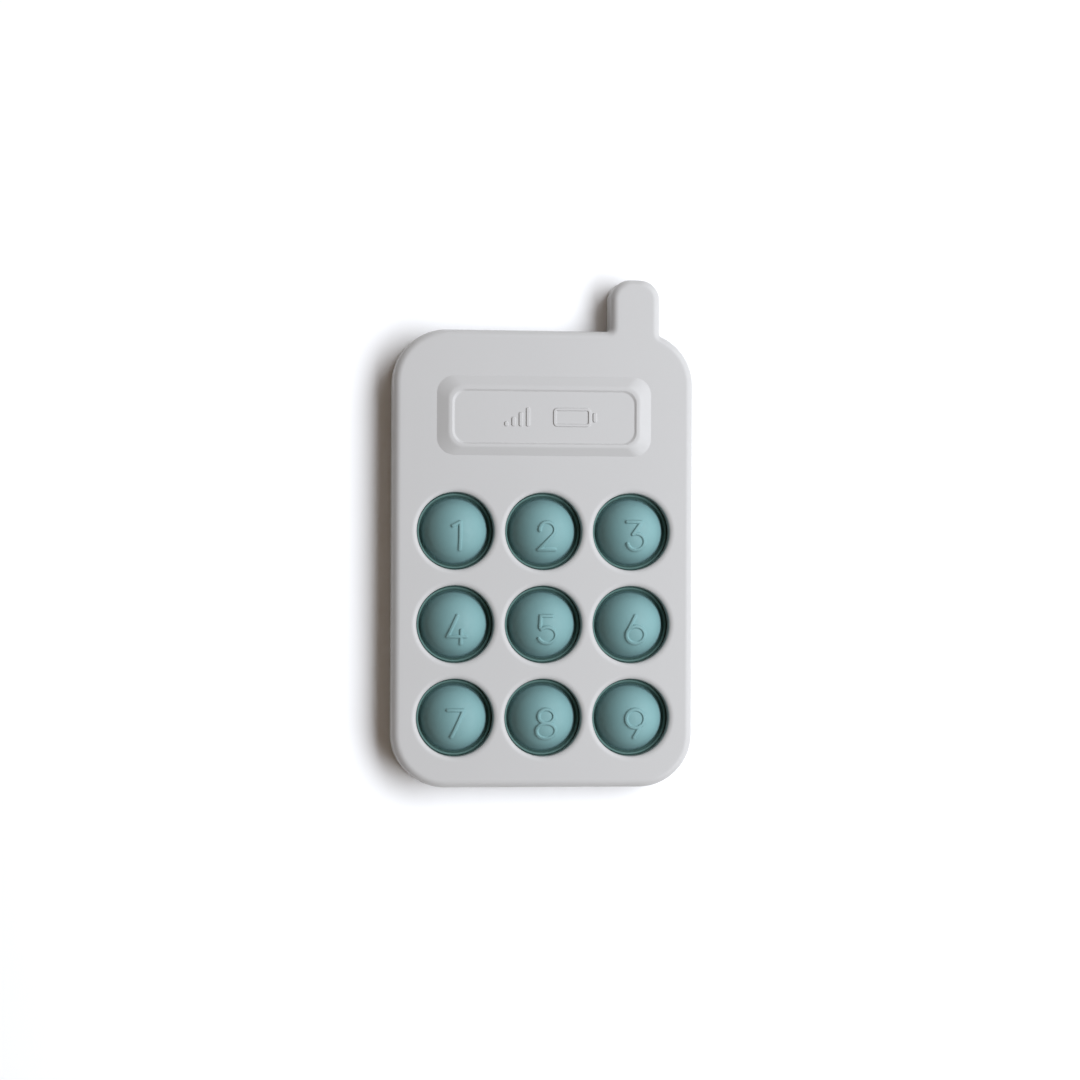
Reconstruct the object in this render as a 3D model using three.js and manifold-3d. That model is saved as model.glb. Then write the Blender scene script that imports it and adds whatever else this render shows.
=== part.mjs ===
// Toy cell phone: a hollow two-part plastic body that holds one silicone sheet with nine numbered
// bubbles. A bubble pops down through its hole when pressed, and back up when pushed from behind.
// Millimetres. X runs across the phone, Y towards the antenna, Z up from the back to the front.
import * as THREE from "three";
import { mergeVertices } from "three/addons/utils/BufferGeometryUtils.js";
import Module from "manifold-3d";

const wasm = await Module();
wasm.setup();

// The body.
const BODY_WIDTH = 87.3;
const BODY_HEIGHT = 132;
const BODY_CORNER = 15.4;
const THICKNESS = 11;
const EDGE_ROUND = 2;
const WALL = 2.2;

// Pieces that touch are drawn this far apart.
const GAP = 0.3;

// The stub antenna stands on the top edge, right of the middle.
const ANTENNA_X = 26.7;
const ANTENNA_WIDTH = 14.3;
const ANTENNA_LENGTH = 15.1;
const ANTENNA_CORNER = 5.8;
const ANTENNA_FOOT = 1.2;

// The origin lies under the middle of the body and antenna together.
const BODY_Y = -ANTENNA_LENGTH / 2;

// Nine keys in three rows of three, and the tube around each hole.
const KEY_ROWS = 3;
const KEY_PITCH_X = 25.6;
const KEY_PITCH_Y = 26.9;
const TOP_ROW_Y = BODY_Y + 7.9;
const HOLE_RADIUS = 11.2;
const HOLE_ROUND = 1.5;
const HOLE_ROUND_DEPTH = 0.8;
const TUBE_WALL = 1.4;
const TUBE_RADIUS = HOLE_RADIUS + TUBE_WALL;

// The silicone sheet: a flat web, and a thin collar standing in each hole, with a groove inside it.
const WEB_BOTTOM = 4.8;
const WEB_TOP = 6.8;
const WEB_MARGIN = 2.4;
const COLLAR_OUTER = HOLE_RADIUS - GAP;
const COLLAR_INNER = 10.3;
const COLLAR_TOP = 7.4;
const GROOVE_BOTTOM = 5.8;

// A bubble is part of a hollow sphere. Its cap carries the digit and its wall rolls over.
const BUBBLE_RADIUS = 9.4;
const BUBBLE_BASE = 7.2;
const BUBBLE_HEIGHT = 7.2;
const BUBBLE_SKIN = 1.2;
const CAP_RADIUS = 6.5;

// The raised digits.
const DIGIT_HEIGHT = 8.9;
const DIGIT_STROKE = 0.9;
const DIGIT_RELIEF = 0.5;
const DIGIT_DROP = 1.4;

// The raised frame of the screen, and the shallow panel inside it.
const SCREEN_Y = BODY_Y + 41.2;
const SCREEN_WIDTH = 62.4;
const SCREEN_HEIGHT = 23;
const SCREEN_CORNER = 5.2;
const SCREEN_RISE = 1.2;
const CREST_SIDE_INSET = 3.4;
const CREST_END_INSET = 2.9;
const CREST_CORNER = 4.2;
const PANEL_SIDE_INSET = 4.9;
const PANEL_END_INSET = 3.9;
const PANEL_CORNER = 3.7;
const PANEL_DEPTH = 0.35;
const PANEL_DROP = 0.35;
const PANEL_Y = SCREEN_Y - PANEL_DROP;

// The signal bars and battery in relief on the panel.
const MOTIF_RELIEF = 0.3;
const MOTIF_STROKE = 0.8;
const MOTIF_HEIGHT = 5.4;
const BAR_COUNT = 4;
const BAR_PITCH = 2.1;
const BAR_WIDTH = 1.1;
const BATTERY_WIDTH = 11;
const MOTIF_SPREAD = 8;

// The parting line of the shells, with its lap joint.
const SPLIT = 5.5;
const LAP = 1.2;
const LIP_INSET = 1.3;

// The screws come in from the back, sit in recesses and end in the posts of the front shell.
const TOP_SCREW_X = 34.5;
const TOP_SCREW_Y = BODY_Y + 57;
const FRONT_POST_RADIUS = 3.2;
const REAR_POST_RADIUS = 4;
const HEAD_RADIUS = 2.2;
const HEAD_BOTTOM = 1;
const HEAD_TOP = 2.6;
const SHANK_RADIUS = 1.25;
const SCREW_TIP = 8.4;
const TIP_LENGTH = 2;
const TIP_RADIUS = 0.9;
const CROSS_WIDTH = 0.7;
const CROSS_LENGTH = 2.6;
const CROSS_DEPTH = 0.9;

// How finely round shapes are cut up. An arc of an outline gets twice its steps as points.
const KEY_SEGMENTS = 24;
const POST_SEGMENTS = 12;
const OUTLINE_STEPS = 3;
const DIGIT_STEPS = 4;
const ROUNDING_STEPS = 2;
const SPHERE_STEP = Math.PI / 8;

// A cutter reaches this far past what it cuts.
const BEYOND = 5;

// From a closed geometry to a solid for booleans, and back.

function solid(geometry) {
  const bare = geometry.clone();
  bare.deleteAttribute("normal");
  bare.deleteAttribute("uv");
  const merged = mergeVertices(bare, 1e-4);
  const mesh = new wasm.Mesh({
    numProp: 3,
    vertProperties: merged.attributes.position.array,
    triVerts: new Uint32Array(merged.index.array),
  });
  return new wasm.Manifold(mesh);
}

function geometryOf(made) {
  const mesh = made.getMesh();
  const geometry = new THREE.BufferGeometry();
  geometry.setAttribute("position", new THREE.BufferAttribute(mesh.vertProperties, 3));
  geometry.setIndex(new THREE.BufferAttribute(mesh.triVerts, 1));
  geometry.computeVertexNormals();
  return geometry;
}

function joined(solids) {
  return solids.reduce((whole, next) => whole.add(next));
}

// Outlines, seen from the front.

function roundedRectangle(width, height, corner, x = 0, y = 0) {
  const dx = width / 2 - corner;
  const dy = height / 2 - corner;
  const shape = new THREE.Shape();
  shape.absarc(x + dx, y - dy, corner, -Math.PI / 2, 0);
  shape.absarc(x + dx, y + dy, corner, 0, Math.PI / 2);
  shape.absarc(x - dx, y + dy, corner, Math.PI / 2, Math.PI);
  shape.absarc(x - dx, y - dy, corner, Math.PI, Math.PI * 1.5);
  return shape;
}

// The whole silhouette, moved inwards by inset. The antenna's right side rises from the corner arc.
function phoneOutline(inset) {
  const corner = BODY_CORNER - inset;
  const cornerX = BODY_WIDTH / 2 - BODY_CORNER;
  const cornerTop = BODY_Y + BODY_HEIGHT / 2 - BODY_CORNER;
  const cornerBottom = BODY_Y - BODY_HEIGHT / 2 + BODY_CORNER;
  const bodyTop = cornerTop + corner;
  const antennaLeft = ANTENNA_X - ANTENNA_WIDTH / 2 + inset;
  const antennaRight = ANTENNA_X + ANTENNA_WIDTH / 2 - inset;
  const tip = ANTENNA_CORNER - inset;
  const tipY = bodyTop + ANTENNA_LENGTH - tip;
  const foot = ANTENNA_FOOT + inset;
  const footX = antennaRight + foot;
  const footY = cornerTop + Math.sqrt((corner + foot) ** 2 - (footX - cornerX) ** 2);
  const meeting = Math.atan2(footY - cornerTop, footX - cornerX);
  const shape = new THREE.Shape();
  shape.absarc(cornerX, cornerBottom, corner, -Math.PI / 2, 0);
  shape.absarc(cornerX, cornerTop, corner, 0, meeting);
  shape.absarc(footX, footY, foot, meeting + Math.PI, Math.PI, true);
  shape.absarc(antennaRight - tip, tipY, tip, 0, Math.PI / 2);
  shape.absarc(antennaLeft + tip, tipY, tip, Math.PI / 2, Math.PI);
  shape.absarc(antennaLeft - foot, bodyTop + foot, foot, 0, -Math.PI / 2, true);
  shape.absarc(-cornerX, cornerTop, corner, Math.PI / 2, Math.PI);
  shape.absarc(-cornerX, cornerBottom, corner, Math.PI, Math.PI * 1.5);
  return shape;
}

// Building blocks.

function slab(shape, bottom, top, curveSegments = OUTLINE_STEPS) {
  const geometry = new THREE.ExtrudeGeometry(shape, {
    depth: top - bottom,
    bevelEnabled: false,
    curveSegments,
  });
  return solid(geometry.translate(0, 0, bottom));
}

function boxSolid(width, depth, bottom, top, x, y) {
  const geometry = new THREE.BoxGeometry(width, depth, top - bottom);
  return solid(geometry.translate(x, y, (bottom + top) / 2));
}

// A solid of revolution about a vertical axis, from [radius, z] pairs in order along its outside,
// bottom to top.
function turned(profile, [x, y], segments = KEY_SEGMENTS) {
  const points = profile.map(([radius, z]) => new THREE.Vector2(radius, z));
  const geometry = new THREE.LatheGeometry(points, segments);
  return solid(geometry.rotateX(Math.PI / 2).translate(x, y, 0));
}

function cylinder(radius, bottom, top, place, segments = KEY_SEGMENTS) {
  return turned([[0, bottom], [radius, bottom], [radius, top], [0, top]], place, segments);
}

function post(radius, bottom, top, place) {
  return cylinder(radius, bottom, top, place, POST_SEGMENTS);
}

// A solid whose side slopes from one outline to another, both convex and with as many points.
function sloped(lowShape, low, highShape, high) {
  const lowPoints = lowShape.getPoints(OUTLINE_STEPS).slice(0, -1);
  const highPoints = highShape.getPoints(OUTLINE_STEPS).slice(0, -1);
  const count = lowPoints.length;
  const positions = [];
  lowPoints.forEach((point) => positions.push(point.x, point.y, low));
  highPoints.forEach((point) => positions.push(point.x, point.y, high));
  const faces = [];
  for (let i = 0; i < count; i += 1) {
    const next = (i + 1) % count;
    faces.push(i, next, count + next, i, count + next, count + i);
  }
  for (let i = 1; i < count - 1; i += 1) {
    faces.push(0, i + 1, i);
    faces.push(count, count + i, count + i + 1);
  }
  const geometry = new THREE.BufferGeometry();
  geometry.setAttribute("position", new THREE.Float32BufferAttribute(positions, 3));
  geometry.setIndex(faces);
  return solid(geometry);
}

// Places of what repeats.

const keyPlaces = [];
for (let row = 0; row < KEY_ROWS; row += 1) {
  for (let column = -1; column <= 1; column += 1) {
    keyPlaces.push([column * KEY_PITCH_X, TOP_ROW_Y - row * KEY_PITCH_Y]);
  }
}

// Two screws beside the screen, and four between the columns of keys.
const screwPlaces = [];
for (const side of [-1, 1]) {
  screwPlaces.push([side * TOP_SCREW_X, TOP_SCREW_Y]);
  screwPlaces.push([(side * KEY_PITCH_X) / 2, TOP_ROW_Y - KEY_PITCH_Y / 2]);
  screwPlaces.push([(side * KEY_PITCH_X) / 2, TOP_ROW_Y - KEY_PITCH_Y * (KEY_ROWS - 1 / 2)]);
}

// The shells.

function wholeBody() {
  const geometry = new THREE.ExtrudeGeometry(phoneOutline(0), {
    depth: THICKNESS - 2 * EDGE_ROUND,
    bevelThickness: EDGE_ROUND,
    bevelSize: EDGE_ROUND,
    bevelOffset: -EDGE_ROUND,
    bevelSegments: ROUNDING_STEPS,
    curveSegments: OUTLINE_STEPS,
  });
  return solid(geometry.translate(0, 0, EDGE_ROUND));
}

// A cutter for a hole whose mouth is rounded, wider than deep, at height mouth. It opens upwards
// if up is 1.
function holeCutter(place, mouth, up) {
  const profile = [[0, mouth - up * THICKNESS], [HOLE_RADIUS, mouth - up * THICKNESS]];
  for (let step = 0; step <= ROUNDING_STEPS; step += 1) {
    const angle = (step / ROUNDING_STEPS) * (Math.PI / 2);
    const radius = HOLE_RADIUS + HOLE_ROUND * (1 - Math.cos(angle));
    profile.push([radius, mouth - up * HOLE_ROUND_DEPTH * (1 - Math.sin(angle))]);
  }
  profile.push([HOLE_RADIUS + HOLE_ROUND, mouth + up], [0, mouth + up]);
  return turned(up > 0 ? profile : profile.reverse(), place);
}

function screenFrame() {
  const outer = roundedRectangle(SCREEN_WIDTH, SCREEN_HEIGHT, SCREEN_CORNER, 0, SCREEN_Y);
  const crest = roundedRectangle(
    SCREEN_WIDTH - 2 * CREST_SIDE_INSET,
    SCREEN_HEIGHT - 2 * CREST_END_INSET,
    CREST_CORNER,
    0,
    PANEL_Y,
  );
  const panel = roundedRectangle(
    SCREEN_WIDTH - 2 * PANEL_SIDE_INSET,
    SCREEN_HEIGHT - 2 * PANEL_END_INSET,
    PANEL_CORNER,
    0,
    PANEL_Y,
  );
  const top = THICKNESS + SCREEN_RISE;
  const root = slab(outer, THICKNESS - WALL / 2, THICKNESS);
  const frame = sloped(outer, THICKNESS, crest, top);
  return root.add(frame).subtract(slab(panel, top - PANEL_DEPTH, top + BEYOND));
}

// Signal bars to the left and a battery to the right of the panel's middle.
function screenMotif() {
  const bottom = THICKNESS + SCREEN_RISE - PANEL_DEPTH - MOTIF_RELIEF;
  const top = bottom + 2 * MOTIF_RELIEF;
  const low = PANEL_Y - MOTIF_HEIGHT / 2;
  const pieces = [];
  for (let bar = 0; bar < BAR_COUNT; bar += 1) {
    const height = (MOTIF_HEIGHT * (bar + 1)) / BAR_COUNT;
    const x = -MOTIF_SPREAD - (BAR_COUNT - 1 - 2 * bar) * (BAR_PITCH / 2);
    pieces.push(boxSolid(BAR_WIDTH, height, bottom, top, x, low + height / 2));
  }
  const inner = BATTERY_WIDTH - 2 * MOTIF_STROKE;
  const hollow = MOTIF_HEIGHT - 2 * MOTIF_STROKE;
  const cell = boxSolid(BATTERY_WIDTH, MOTIF_HEIGHT, bottom, top, MOTIF_SPREAD, PANEL_Y);
  const inside = boxSolid(inner, hollow, bottom - 1, top + 1, MOTIF_SPREAD, PANEL_Y);
  pieces.push(cell.subtract(inside));
  const contactX = MOTIF_SPREAD + BATTERY_WIDTH / 2 + BAR_WIDTH / 2;
  const contact = boxSolid(2 * BAR_WIDTH, hollow / 2, bottom, top, contactX, PANEL_Y);
  pieces.push(contact.subtract(inside));
  return joined(pieces);
}

function frontShell() {
  const low = SPLIT + GAP / 2;
  const outer = slab(phoneOutline(-BEYOND), low, THICKNESS + BEYOND).intersect(wholeBody());
  const ceiling = THICKNESS - WALL;
  const tubes = keyPlaces.map((place) => cylinder(TUBE_RADIUS, WEB_TOP + GAP, ceiling + 1, place));
  const posts = screwPlaces.map((place) => post(FRONT_POST_RADIUS, low, ceiling + 1, place));
  const hollow = slab(phoneOutline(WALL), 0, ceiling).subtract(joined([...tubes, ...posts]));
  const rebate = slab(phoneOutline(LIP_INSET - GAP), 0, SPLIT + LAP + GAP);
  const groove = rebate.subtract(slab(phoneOutline(WALL), -1, THICKNESS));
  const holes = keyPlaces.map((place) => holeCutter(place, THICKNESS, 1));
  const pilots = screwPlaces.map((place) =>
    post(SHANK_RADIUS + GAP, 0, SCREW_TIP + GAP, place),
  );
  const shell = outer.subtract(joined([hollow, groove, ...holes, ...pilots]));
  return joined([shell, screenFrame(), screenMotif()]);
}

function rearShell() {
  const high = SPLIT - GAP / 2;
  const outer = slab(phoneOutline(-BEYOND), -BEYOND, high).intersect(wholeBody());
  const tubes = keyPlaces.map((place) => cylinder(TUBE_RADIUS, 0, WEB_BOTTOM - GAP, place));
  const posts = screwPlaces.map((place) => post(REAR_POST_RADIUS, 0, high, place));
  const hollow = slab(phoneOutline(WALL), WALL, THICKNESS).subtract(joined([...tubes, ...posts]));
  const ring = slab(phoneOutline(LIP_INSET), WALL, SPLIT + LAP);
  const lip = ring.subtract(slab(phoneOutline(WALL), 0, THICKNESS));
  const holes = keyPlaces.map((place) => holeCutter(place, 0, -1));
  const sinks = screwPlaces.map((place) => {
    const recess = post(HEAD_RADIUS + GAP, -1, HEAD_TOP + GAP, place);
    return recess.add(post(SHANK_RADIUS + GAP, 0, THICKNESS, place));
  });
  return outer.subtract(hollow).add(lip).subtract(joined([...holes, ...sinks]));
}

// The silicone.

function bubbleSheet() {
  const margin = HOLE_RADIUS + WEB_MARGIN;
  const middleY = TOP_ROW_Y - KEY_PITCH_Y;
  const outline = roundedRectangle(
    2 * (KEY_PITCH_X + margin),
    2 * (KEY_PITCH_Y + margin),
    margin,
    0,
    middleY,
  );
  const web = slab(outline, WEB_BOTTOM, WEB_TOP);
  const collars = keyPlaces.map((place) =>
    cylinder(COLLAR_OUTER, WEB_BOTTOM, COLLAR_TOP, place),
  );
  const openings = keyPlaces.map((place) => cylinder(BUBBLE_RADIUS + GAP, 0, THICKNESS, place));
  const grooves = keyPlaces.map((place) => cylinder(COLLAR_INNER, GROOVE_BOTTOM, THICKNESS, place));
  const notches = screwPlaces.map((place) =>
    post(REAR_POST_RADIUS + GAP, 0, THICKNESS, place),
  );
  return joined([web, ...collars]).subtract(joined([...openings, ...grooves, ...notches]));
}

const SPHERE_RADIUS = (BUBBLE_RADIUS ** 2 + BUBBLE_HEIGHT ** 2) / (2 * BUBBLE_HEIGHT);
const SPHERE_Z = BUBBLE_BASE + BUBBLE_HEIGHT - SPHERE_RADIUS;
const BASE_ANGLE = Math.asin(BUBBLE_RADIUS / SPHERE_RADIUS);
const CAP_ANGLE = Math.asin(CAP_RADIUS / SPHERE_RADIUS);
const GAP_ANGLE = GAP / SPHERE_RADIUS;

// Points along a sphere's profile. Angles count from its top.
function sphereArc(radius, from, to) {
  const steps = Math.ceil(Math.abs(to - from) / SPHERE_STEP);
  const points = [];
  for (let step = 0; step <= steps; step += 1) {
    const angle = from + ((to - from) * step) / steps;
    points.push([radius * Math.sin(angle), SPHERE_Z + radius * Math.cos(angle)]);
  }
  return points;
}

function bubbleWall(place) {
  const outside = sphereArc(SPHERE_RADIUS, BASE_ANGLE, CAP_ANGLE + GAP_ANGLE);
  const inside = sphereArc(SPHERE_RADIUS - BUBBLE_SKIN, CAP_ANGLE + GAP_ANGLE, BASE_ANGLE);
  return turned([...outside, ...inside, outside[0]], place);
}

// Digit strokes in tenths of the digit's height, from its middle: straight ones as
// [x0, y0, x1, y1], and arcs as [x, y, radius, from, to] in degrees.
const DIGITS = {
  1: { lines: [[1, -5, 1, 4.9], [1, 4.9, -1.8, 3.5]] },
  2: { lines: [[2.5, 0.6, -2.4, -4.9], [-2.4, -4.9, 3.4, -4.9]], arcs: [[0.4, 2.3, 2.7, -40, 185]] },
  3: { lines: [[-2.1, 5.2, 2.9, 5.2], [2.9, 5.2, -0.4, 0.8]], arcs: [[0.8, -1.8, 2.9, -165, 115]] },
  4: { lines: [[0, 4.9, -3.4, -2.6], [-3.4, -2.6, 3.1, -2.6], [1.5, -0.4, 1.5, -5.1]] },
  5: { lines: [[2.5, 4.9, -1.8, 4.9], [-1.8, 4.9, -2.1, 1]], arcs: [[0.4, -1.8, 3.1, -155, 130]] },
  6: { lines: [[0.7, 4.9, -1.9, -0.4]], arcs: [[0.9, -1.8, 3.2, 0, 360]] },
  7: { lines: [[-3.2, 4.6, 2.6, 4.6], [2.6, 4.6, -1.9, -4.9]] },
  8: { arcs: [[0.3, 2.3, 2.6, 0, 360], [0.3, -2.5, 3.1, 0, 360]] },
  9: { lines: [[0.6, -5.2, 2.7, -1.2]], arcs: [[0.9, 1.5, 3.3, 0, 360]] },
};

function straightStroke([x0, y0, x1, y1]) {
  const half = DIGIT_STROKE / 2;
  const angle = Math.atan2(y1 - y0, x1 - x0);
  const shape = new THREE.Shape();
  shape.absarc(x1, y1, half, angle - Math.PI / 2, angle + Math.PI / 2);
  shape.absarc(x0, y0, half, angle + Math.PI / 2, angle + Math.PI * 1.5);
  return shape;
}

function roundStroke([x, y, radius, from, to]) {
  const half = DIGIT_STROKE / 2;
  const start = THREE.MathUtils.degToRad(from);
  const end = THREE.MathUtils.degToRad(to);
  const shape = new THREE.Shape();
  if (to - from === 360) {
    shape.absarc(x, y, radius + half, 0, 2 * Math.PI);
    const hole = new THREE.Path();
    hole.absarc(x, y, radius - half, 0, 2 * Math.PI);
    shape.holes.push(hole);
    return shape;
  }
  shape.absarc(x, y, radius + half, start, end);
  shape.absarc(x, y, radius - half, end, start, true);
  return shape;
}

// The digit's strokes as one upright prism, centred on the bubble and a little low.
function digitPrism(digit, [x, y]) {
  const scale = (DIGIT_HEIGHT - DIGIT_STROKE) / 10;
  const scaled = (numbers, lengths) =>
    numbers.map((value, i) => (i < lengths ? value * scale : value));
  const { lines = [], arcs = [] } = DIGITS[digit];
  const shapes = [
    ...lines.map((line) => straightStroke(scaled(line, 4))),
    ...arcs.map((arc) => roundStroke(scaled(arc, 3))),
  ];
  const strokes = shapes.map((shape) => slab(shape, BUBBLE_BASE, THICKNESS * 2, DIGIT_STEPS));
  return joined(strokes).translate([x, y - DIGIT_DROP, 0]);
}

function bubbleCap(digit, place) {
  const inside = sphereArc(SPHERE_RADIUS - BUBBLE_SKIN, 0, CAP_ANGLE);
  const outside = sphereArc(SPHERE_RADIUS, CAP_ANGLE, 0);
  const cap = turned([...inside, ...outside], place);
  const raised = sphereArc(SPHERE_RADIUS + DIGIT_RELIEF, CAP_ANGLE, 0);
  const relief = turned([...inside, ...raised], place);
  return cap.add(relief.intersect(digitPrism(digit, place)));
}

// A screw, head down, with a cross recess.
function shellScrew([x, y]) {
  const profile = [
    [0, HEAD_BOTTOM],
    [HEAD_RADIUS, HEAD_BOTTOM],
    [HEAD_RADIUS, HEAD_TOP],
    [SHANK_RADIUS, HEAD_TOP],
    [SHANK_RADIUS, SCREW_TIP - TIP_LENGTH],
    [TIP_RADIUS, SCREW_TIP - TIP_LENGTH / 2],
    [0, SCREW_TIP],
  ];
  const crossEnd = HEAD_BOTTOM + CROSS_DEPTH;
  const across = boxSolid(CROSS_LENGTH, CROSS_WIDTH, HEAD_BOTTOM - 1, crossEnd, x, y);
  const along = boxSolid(CROSS_WIDTH, CROSS_LENGTH, HEAD_BOTTOM - 1, crossEnd, x, y);
  return turned(profile, [x, y], POST_SEGMENTS).subtract(across.add(along));
}

// The materials.

const creamPlastic = new THREE.MeshStandardMaterial({
  name: "cream_plastic",
  color: 0xe4e1de,
  roughness: 0.55,
  metalness: 0,
});
const tealSilicone = new THREE.MeshStandardMaterial({
  name: "teal_silicone",
  color: 0x6f9a9a,
  roughness: 0.6,
  metalness: 0,
});
const screwSteel = new THREE.MeshStandardMaterial({
  name: "screw_steel",
  color: 0xb9bcc0,
  roughness: 0.35,
  metalness: 1,
});

const phone = new THREE.Group();

function addPiece(name, made, material) {
  const mesh = new THREE.Mesh(geometryOf(made), material.clone());
  mesh.name = name;
  phone.add(mesh);
}

addPiece("front_shell", frontShell(), creamPlastic);
addPiece("rear_shell", rearShell(), creamPlastic);
addPiece("bubble_sheet", bubbleSheet(), tealSilicone);
keyPlaces.forEach((place, index) => {
  addPiece(`bubble_wall_${index + 1}`, bubbleWall(place), tealSilicone);
  addPiece(`bubble_cap_${index + 1}`, bubbleCap(index + 1, place), tealSilicone);
});
screwPlaces.forEach((place, index) => {
  addPiece(`shell_screw_${index + 1}`, shellScrew(place), screwSteel);
});

export default phone;
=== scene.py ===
"""Toy cell phone: the looks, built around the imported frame.

Lengths below are in millimetres in the row frame, and a mesh is scaled to metres as it is made.
X runs across the phone, Y towards the antenna, Z up from the back to the front.
"""
import math

import bmesh
import bpy
import numpy as np
from mathutils import Matrix, Vector
from mathutils.geometry import tessellate_polygon


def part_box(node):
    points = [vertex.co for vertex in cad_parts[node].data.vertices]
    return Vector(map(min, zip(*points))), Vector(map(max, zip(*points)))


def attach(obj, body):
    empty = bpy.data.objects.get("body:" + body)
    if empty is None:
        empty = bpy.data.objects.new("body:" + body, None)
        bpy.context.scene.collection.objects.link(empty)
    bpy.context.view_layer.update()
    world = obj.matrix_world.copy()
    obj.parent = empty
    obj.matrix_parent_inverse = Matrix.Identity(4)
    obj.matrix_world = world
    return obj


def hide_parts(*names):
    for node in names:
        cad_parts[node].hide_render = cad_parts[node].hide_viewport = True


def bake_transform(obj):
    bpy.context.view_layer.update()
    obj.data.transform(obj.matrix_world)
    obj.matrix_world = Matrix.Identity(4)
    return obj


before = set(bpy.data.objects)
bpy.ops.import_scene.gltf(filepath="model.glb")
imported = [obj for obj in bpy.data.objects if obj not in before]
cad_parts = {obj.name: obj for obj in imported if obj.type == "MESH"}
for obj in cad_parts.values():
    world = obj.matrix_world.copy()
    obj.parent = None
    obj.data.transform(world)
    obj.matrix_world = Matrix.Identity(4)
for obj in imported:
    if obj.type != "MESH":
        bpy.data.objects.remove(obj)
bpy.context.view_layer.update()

MM = 0.001


def box_mm(node):
    """A CAD node's lowest and highest corners, in millimetres."""
    low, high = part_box(node)
    return Vector(low) / MM, Vector(high) / MM


# The body's sizes, from the frame where it holds them.
SHELL_LOW, SHELL_HIGH = box_mm("front_shell")
BODY_WIDTH = SHELL_HIGH.x - SHELL_LOW.x
BODY_CORNER = 15.4
SCREEN_RISE = 1.2
THICKNESS = SHELL_HIGH.z - SCREEN_RISE
EDGE_ROUND = 2
WALL = 2.2
ANTENNA_X = 26.7
ANTENNA_WIDTH = 14.3
ANTENNA_LENGTH = 15.1
ANTENNA_CORNER = 5.8
ANTENNA_FOOT = 1.2
BODY_TOP = SHELL_HIGH.y - ANTENNA_LENGTH
BODY_BOTTOM = SHELL_LOW.y

# The parting line, drawn narrower than the CAD's working gap.
SPLIT = 5.5
SEAM = 0.16
LAP = 1.2
LIP_INSET = 1.3
LAP_GAP = 0.2

# Details that the CAD leaves out: small roundings, and a flat strip beside a larger one. The gap
# at the clamped sheet is drawn narrower than the CAD's.
RIM_ROUND = 0.25
SUPPORT = 0.3
CLAMP_GAP = 0.05

# The keys.
KEYS = range(1, 10)
HOLE_RADIUS = 11.2
HOLE_ROUND = 1.5
HOLE_ROUND_DEPTH = 0.8
TUBE_RADIUS = 12.6
WEB_BOTTOM = 4.8
WEB_TOP = 6.8
COLLAR_OUTER = 10.9
COLLAR_INNER = 10.3
COLLAR_TOP = 7.4
COLLAR_ROUND = 0.25
GROOVE_BOTTOM = 5.8
SHEET_MARGIN = HOLE_RADIUS + 2.4
SHEET_ROUND = 0.3
SHEET_STRIP = 1
BUBBLE_RADIUS = 9.4
BUBBLE_BASE = 7.2
BUBBLE_HEIGHT = 7.2
BUBBLE_SKIN = 1.2
DIGIT_HEIGHT = 8.9
DIGIT_STROKE = 0.9
DIGIT_RELIEF = 0.5
DIGIT_DROP = 1.4
STROKE_SOFT = 0.22

# The bubble's root under the groove, as (distance outwards from the bubble's radius, height).
# The fillet's heights count from the groove's bottom, and the foot's from the root's bottom.
ROOT_BOTTOM = 5.3
ROOT_FILLET = [(0.05, 0.3), (0.15, 0.1), (0.35, 0.02)]
ROOT_FOOT = [(0.35, 0), (-0.6, 0), (-1, 0.12), (-1.25, 0.5)]

# The bubble's inside, from the height where it starts to its last ring's angle, in radians.
INSIDE_START = BUBBLE_BASE - 0.1
INSIDE_END_ANGLE = 0.02

# How finely a bubble is cut up: closely where its digit stands, and more widely below it.
DIGIT_REACH = 6.9
DIGIT_RINGS = 76
SIDE_RINGS = 16
INSIDE_RINGS = 14
BUBBLE_STEPS = 200

# The screen.
SCREEN_Y = BODY_TOP - 24.8
SCREEN_WIDTH = 62.4
SCREEN_HEIGHT = 23
SCREEN_CORNER = 5.2
SCREEN_END_SHARE = 0.82
SCREEN_DROP_SHARE = 0.08
SCREEN_CORNER_SHARE = 0.31
SCREEN_FOOT_ROUND = 0.3
SLOPE_WIDTH = 3.4
SLOPE_ROUND = 2.5
RIDGE_WIDTH = 1
PANEL_STEP = 0.6
PANEL_ROUND = 0.5
PANEL_STRIP = 0.7
PANEL_DEPTH = 0.35
PANEL_DROP = 0.35
PANEL_Y = SCREEN_Y - PANEL_DROP
MOTIF_RELIEF = 0.3
MOTIF_STROKE = 0.8
MOTIF_HEIGHT = 5.4
MOTIF_SPREAD = 8
MOTIF_SLOPE = 0.06
MOTIF_FOOT_ROUND = 0.08
MOTIF_TOP_ROUND = 0.12
MOTIF_STRIP = 0.1
BAR_COUNT = 4
BAR_PITCH = 2.1
BAR_WIDTH = 1.1
BAR_CORNER = 0.45
BAR_STRIP = 0.35
BATTERY_WIDTH = 11
BATTERY_CORNER = 1.2

# The screws.
SCREWS = range(1, 7)
FRONT_POST_RADIUS = 3.2
REAR_POST_RADIUS = 4
PILOT_RADIUS = 1.55
RECESS_RADIUS = 2.5
SEAT = 2.9
HEAD_RADIUS = 2.2
HEAD_BOTTOM = 1
HEAD_TOP = 2.6
HEAD_FLAT = HEAD_RADIUS - 0.75
HEAD_ROUND = 0.6
HEAD_EDGE_ROUND = 0.1
SHANK_RADIUS = 1.25
SCREW_TIP = 8.4
TAPER = 2
TAPER_SHARE = 0.7
TIP_RADIUS = 0.1
CROSS_WIDTH = 0.7
CROSS_LENGTH = 2.6
CROSS_DEPTH = 0.9
CROSS_FLOOR_WIDTH = CROSS_WIDTH * 0.7
CROSS_FLOOR_LENGTH = CROSS_LENGTH * 0.6

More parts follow.
